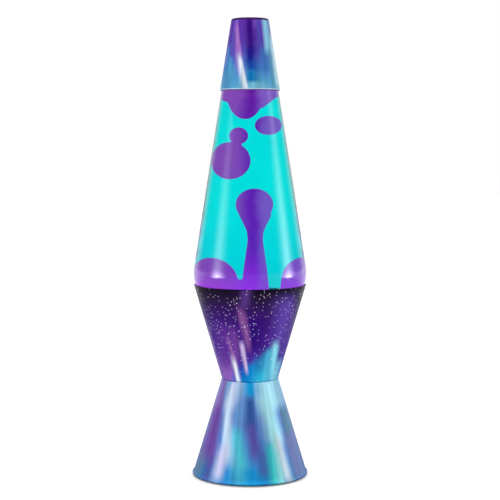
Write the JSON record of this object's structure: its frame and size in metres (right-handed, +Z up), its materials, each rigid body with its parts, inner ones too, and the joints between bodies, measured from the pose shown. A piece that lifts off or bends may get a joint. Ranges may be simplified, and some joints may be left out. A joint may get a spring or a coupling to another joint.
{
  "type": "liquid motion lamp",
  "caption": "Tapered glass globe of drifting wax in tinted liquid on a waisted conical metal base, with a matching conical cap over its neck.",
  "frame": {"origin": "middle of the footprint, on the surface the lamp stands on", "axes": "+Z up along the lamp's axis, +Y towards the back, where the cord outlet is"},
  "size_m": [0.0936, 0.0936, 0.368],
  "materials": {
    "painted_cup": "gloss",
    "painted_foot": "gloss",
    "painted_cap": "gloss",
    "clear_glass": "gloss",
    "bulb_glass": "gloss",
    "stem_glass": "gloss",
    "teal_liquid": "gloss",
    "purple_wax": "satin",
    "crown_steel": "gloss",
    "liner": "matte",
    "spring_steel": "satin",
    "zinc_steel": "satin",
    "porcelain": "satin",
    "brass": "satin",
    "insulator": "gloss",
    "solder": "satin",
    "filament_wire": "satin",
    "black_board": "matte",
    "black_rubber": "matte",
    "grommet": "satin"
  },
  "bodies": {
    "base": {"base_cup": "painted_cup", "base_foot": "painted_foot", "waist_rivets": "zinc_steel", "socket_bracket": "zinc_steel", "socket_body": "porcelain", "socket_screw_shell": "brass", "socket_contact": "brass", "socket_terminals": "brass", "socket_nipple": "zinc_steel", "nipple_washer": "zinc_steel", "nipple_nut": "zinc_steel", "bottom_cover": "black_board", "cover_lugs": "zinc_steel", "cover_screws": "zinc_steel", "rubber_feet": "black_rubber", "cord_grommet": "grommet"},
    "globe": {"globe_glass": "clear_glass", "crown_closure": "crown_steel", "crown_liner": "liner", "liquid": "teal_liquid", "wax_pool": "purple_wax", "wax_top_mass": "purple_wax", "warming_coil": "spring_steel"},
    "cap": {"cap": "painted_cap"},
    "blob_large": {"wax_blob_large": "purple_wax"},
    "blob_small": {"wax_blob_small": "purple_wax"},
    "bulb_tip": {"bulb_solder_tip": "solder"},
    "bulb": {"bulb_glass": "bulb_glass", "bulb_screw_cap": "brass", "bulb_insulator": "insulator", "bulb_stem": "stem_glass", "bulb_leads": "filament_wire", "bulb_filament": "filament_wire"}
  },
  "joints": [
    {"name": "globe_lift", "type": "slide", "parent": "base", "child": "globe", "axis": [0, 0, 1], "range_m": [0, 0.07]},
    {"name": "cap_lift", "type": "slide", "parent": "globe", "child": "cap", "axis": [0, 0, 1], "range_m": [0, 0.06]},
    {"name": "blob_large_drift", "type": "slide", "parent": "globe", "child": "blob_large", "axis": [0, 0, 1], "range_m": [-0.006, 0.005]},
    {"name": "blob_small_drift", "type": "slide", "parent": "globe", "child": "blob_small", "axis": [0, 0, 1], "range_m": [-0.034, 0.005]},
    {"name": "bulb_rise", "type": "slide", "parent": "base", "child": "bulb_tip", "axis": [0, 0, 1], "range_m": [0, 0.0085]},
    {"name": "bulb_turn", "type": "hinge", "parent": "bulb_tip", "child": "bulb", "pos_m": [0, 0, 0.06], "axis": [0, 0, 1], "range_deg": [0, 1080]}
  ],
  "couplings": [
    {"joint": "bulb_rise", "follows": "bulb_turn", "m_per_rad": 0.00044882}
  ]
}
